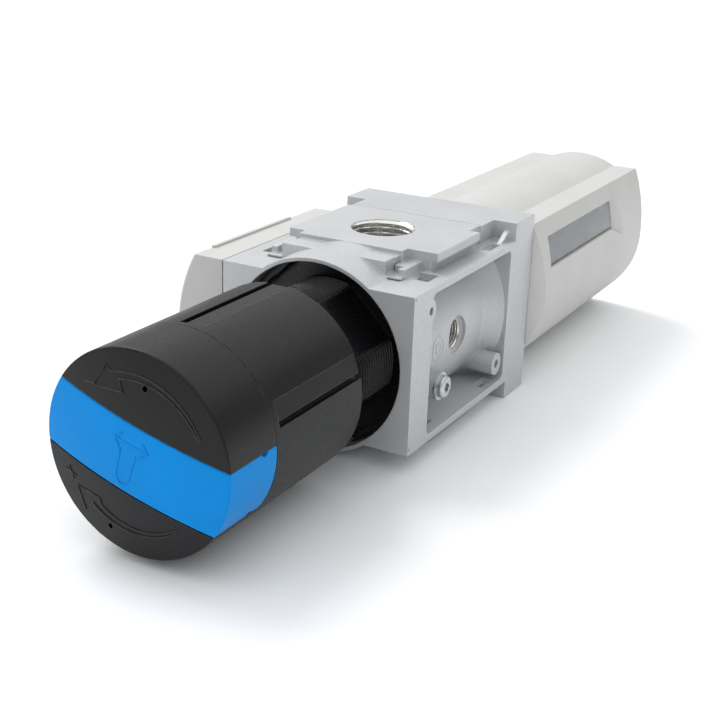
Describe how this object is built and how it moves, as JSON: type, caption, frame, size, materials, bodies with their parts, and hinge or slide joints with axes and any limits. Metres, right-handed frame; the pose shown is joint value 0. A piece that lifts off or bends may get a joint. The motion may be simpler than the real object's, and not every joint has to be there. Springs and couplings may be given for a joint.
{
  "type": "air pressure regulator",
  "caption": "Modular compressed-air filter regulator: square die-cast body with threaded ports, long black rotary knob with blue lock slide, side cover and bowl in a plastic guard.",
  "frame": {"origin": "centre of the lower port's mouth, in the plane the part lies on", "axes": "+X along the knob axis from the knob to the bowl, +Y towards the closed cover, +Z along the port axis; the part lies on one port face as pictured"},
  "size_m": [0.2893, 0.0885, 0.062],
  "materials": {
    "cast_body": "fine matte silver-grey coating on die-cast aluminium",
    "cover_plastic": "warm off-white moulded plastic, fine texture",
    "guard_plastic": "warm off-white moulded plastic, fine texture",
    "bonnet_plastic": "black glass-filled plastic, slightly glossy",
    "knob_plastic": "black matte plastic with worn edges",
    "blue_plastic": "satin bright blue",
    "turned_steel": "turned",
    "spring_steel": "drawn wire",
    "turned_brass": "turned",
    "pressed_aluminium": "pressed",
    "zinc_screw": "bright galvanised",
    "diaphragm_rubber": "fabric-reinforced rubber",
    "seal_rubber": "matte",
    "white_plastic": "plain moulded",
    "drain_plastic": "black moulded",
    "sintered_filter": "porous sintered white",
    "clear_bowl": "clear polycarbonate"
  },
  "bodies": {
    "housing": {"main_body": "cast_body", "front_cover": "cover_plastic", "bonnet": "bonnet_plastic", "detent_ring": "bonnet_plastic", "thrust_washer": "turned_steel", "diaphragm": "diaphragm_rubber", "valve_seat": "turned_brass", "valve_guide": "white_plastic", "return_spring": "spring_steel", "range_spring": "spring_steel", "filter_stud": "white_plastic", "swirl_disc": "white_plastic", "filter_element": "sintered_filter", "baffle_plate": "white_plastic", "filter_nut": "turned_brass", "cover_screw": "zinc_screw", "screw_washer": "zinc_screw"},
    "spindle": {"adjusting_spindle": "turned_steel"},
    "nut": {"spindle_nut": "turned_brass"},
    "knob": {"rotary_knob": "knob_plastic"},
    "lock": {"lock_slide": "blue_plastic"},
    "valve": {"spring_plate": "pressed_aluminium", "diaphragm_disc": "pressed_aluminium", "valve_stem": "turned_brass", "poppet_seal": "seal_rubber", "valve_poppet": "turned_brass"},
    "bowl_unit": {"bowl": "clear_bowl", "bowl_seal": "seal_rubber", "bowl_guard": "guard_plastic", "sight_glass": "clear_bowl", "drain_body": "drain_plastic", "drain_seal": "seal_rubber", "drain_nut": "drain_plastic"},
    "drain_handle": {"drain_knob": "drain_plastic"},
    "drain_valve": {"drain_stem": "turned_brass"}
  },
  "joints": [
    {"name": "spindle_turn", "type": "hinge", "parent": "housing", "child": "spindle", "pos_m": [0, 0, 0.031], "axis": [1, 0, 0], "range_deg": [0, 2160]},
    {"name": "nut_travel", "type": "slide", "parent": "housing", "child": "nut", "axis": [1, 0, 0], "range_m": [0, 0.0121], "deforming": ["range_spring"]},
    {"name": "knob_lift", "type": "slide", "parent": "spindle", "child": "knob", "axis": [-1, 0, 0], "range_m": [0, 0.005]},
    {"name": "lock_pull", "type": "slide", "parent": "knob", "child": "lock", "axis": [0, 0.9636, 0.2672], "range_m": [0, 0.008]},
    {"name": "valve_lift", "type": "slide", "parent": "housing", "child": "valve", "axis": [1, 0, 0], "range_m": [0, 0.0025], "stiffness_N_per_m": 3000, "springref_m": -0.002, "deforming": ["return_spring", "diaphragm"]},
    {"name": "bowl_turn", "type": "hinge", "parent": "housing", "child": "bowl_unit", "pos_m": [0.0463, 0, 0.031], "axis": [1, 0, 0], "range_deg": [0, 40]},
    {"name": "drain_turn", "type": "hinge", "parent": "bowl_unit", "child": "drain_handle", "pos_m": [0.15, 0, 0.031], "axis": [1, 0, 0], "range_deg": [0, 180]},
    {"name": "drain_lift", "type": "slide", "parent": "bowl_unit", "child": "drain_valve", "axis": [-1, 0, 0], "range_m": [0, 0.0016]}
  ],
  "couplings": [
    {"joint": "nut_travel", "follows": "spindle_turn", "m_per_rad": 0.00031831},
    {"joint": "drain_lift", "follows": "drain_turn", "m_per_rad": 0.00047746}
  ]
}
